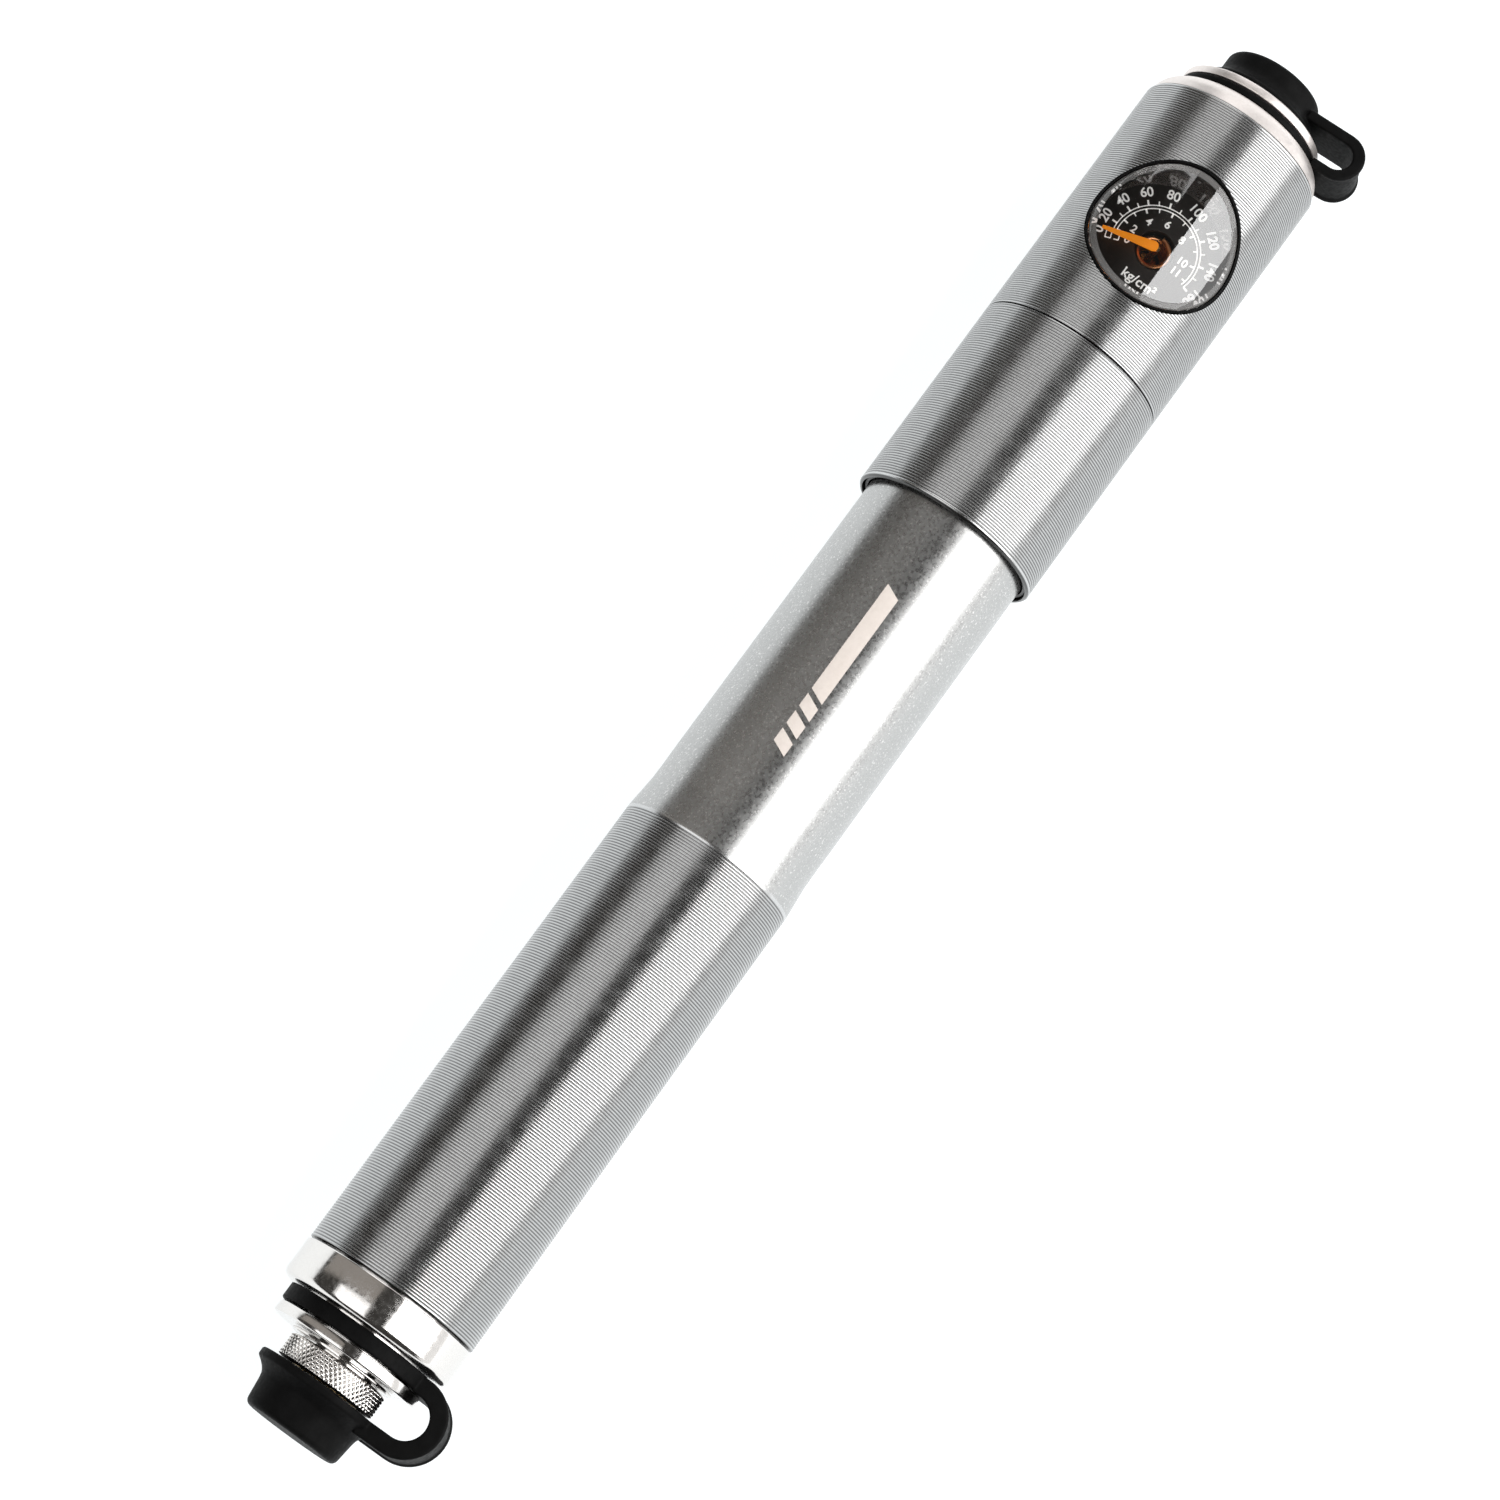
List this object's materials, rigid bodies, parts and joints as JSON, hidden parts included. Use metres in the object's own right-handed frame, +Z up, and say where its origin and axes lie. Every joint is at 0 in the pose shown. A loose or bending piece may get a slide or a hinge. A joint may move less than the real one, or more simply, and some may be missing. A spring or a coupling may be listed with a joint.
{
  "type": "mini pump",
  "caption": "Slim metal bicycle pump with a round pressure gauge, ribbed grips, a sliding tube handle and tethered rubber end caps.",
  "frame": {"origin": "on the lowest facet of the gauge head, straight below the gauge's axis", "axes": "+X along the barrel towards the gauge end; +Z up, the way the gauge faces; the cap tethers stand out on the -Y side"},
  "size_m": [0.2229, 0.0308, 0.0271],
  "materials": {
    "satin_aluminium": "satin silver aluminium, ringed with fine turned grooves on the grips",
    "polished_aluminium": "bright turned and polished",
    "steel": "drawn and brushed",
    "brass": "turned, nickel-free",
    "copper": "drawn copper alloy tube",
    "black_rubber": "matt moulded rubber",
    "hose_rubber": "extruded rubber",
    "black_plastic": "moulded",
    "dial_print": "black dial with white printed scales",
    "needle_paint": "orange paint",
    "clear_lens": "clear moulded plastic, polished"
  },
  "bodies": {
    "head": {"gauge_head": "satin_aluminium", "grip_sleeve": "satin_aluminium", "sleeve_guide": "black_plastic", "inner_cylinder": "steel", "cylinder_gland": "black_plastic", "valve_body": "brass", "valve_retainer": "brass", "valve_spring": "steel", "top_collar": "polished_aluminium", "outlet_nipple": "brass", "top_tether": "black_rubber", "gauge_case": "black_plastic", "gauge_stem": "brass", "bourdon_coil": "copper", "gauge_dial": "dial_print", "gauge_lens": "clear_lens", "lens_gasket": "black_rubber"},
    "needle": {"gauge_needle": "needle_paint", "needle_spindle": "brass"},
    "poppet": {"valve_poppet": "black_rubber"},
    "handle": {"handle_tube": "satin_aluminium", "tube_bush": "black_plastic", "bottom_collar": "polished_aluminium", "piston_rod": "steel", "piston": "black_plastic", "piston_seal": "black_rubber", "nut_washer": "polished_aluminium", "bottom_tether": "black_rubber"},
    "hose": {"hose_nut": "polished_aluminium", "hose": "hose_rubber", "hose_chuck": "brass", "chuck_gasket": "black_rubber", "hose_connector": "brass"},
    "bottom_cap": {"bottom_cap": "black_rubber"},
    "top_cap": {"top_cap": "black_rubber"}
  },
  "joints": [
    {"name": "handle_stroke", "type": "slide", "parent": "head", "child": "handle", "axis": [-1, 0, 0], "range_m": [0, 0.115]},
    {"name": "gauge_needle_turn", "type": "hinge", "parent": "head", "child": "needle", "pos_m": [0, 0, 0.0135], "axis": [0, 0, -1], "range_deg": [0, 213], "stiffness_Nm_per_rad": 0.000002},
    {"name": "valve_lift", "type": "slide", "parent": "head", "child": "poppet", "axis": [1, 0, 0], "range_m": [0, 0.0008], "stiffness_N_per_m": 5, "springref_m": -0.002, "deforming": ["valve_spring"]},
    {"name": "hose_unscrew", "type": "hinge", "parent": "handle", "child": "hose", "pos_m": [-0.183, 0, 0.0135], "axis": [-1, 0, 0], "continuous": true},
    {"name": "bottom_cap_pull", "type": "slide", "parent": "handle", "child": "bottom_cap", "axis": [-1, 0, 0], "range_m": [0, 0.01], "deforming": ["bottom_tether"]},
    {"name": "top_cap_pull", "type": "slide", "parent": "head", "child": "top_cap", "axis": [1, 0, 0], "range_m": [0, 0.01], "deforming": ["top_tether"]}
  ]
}
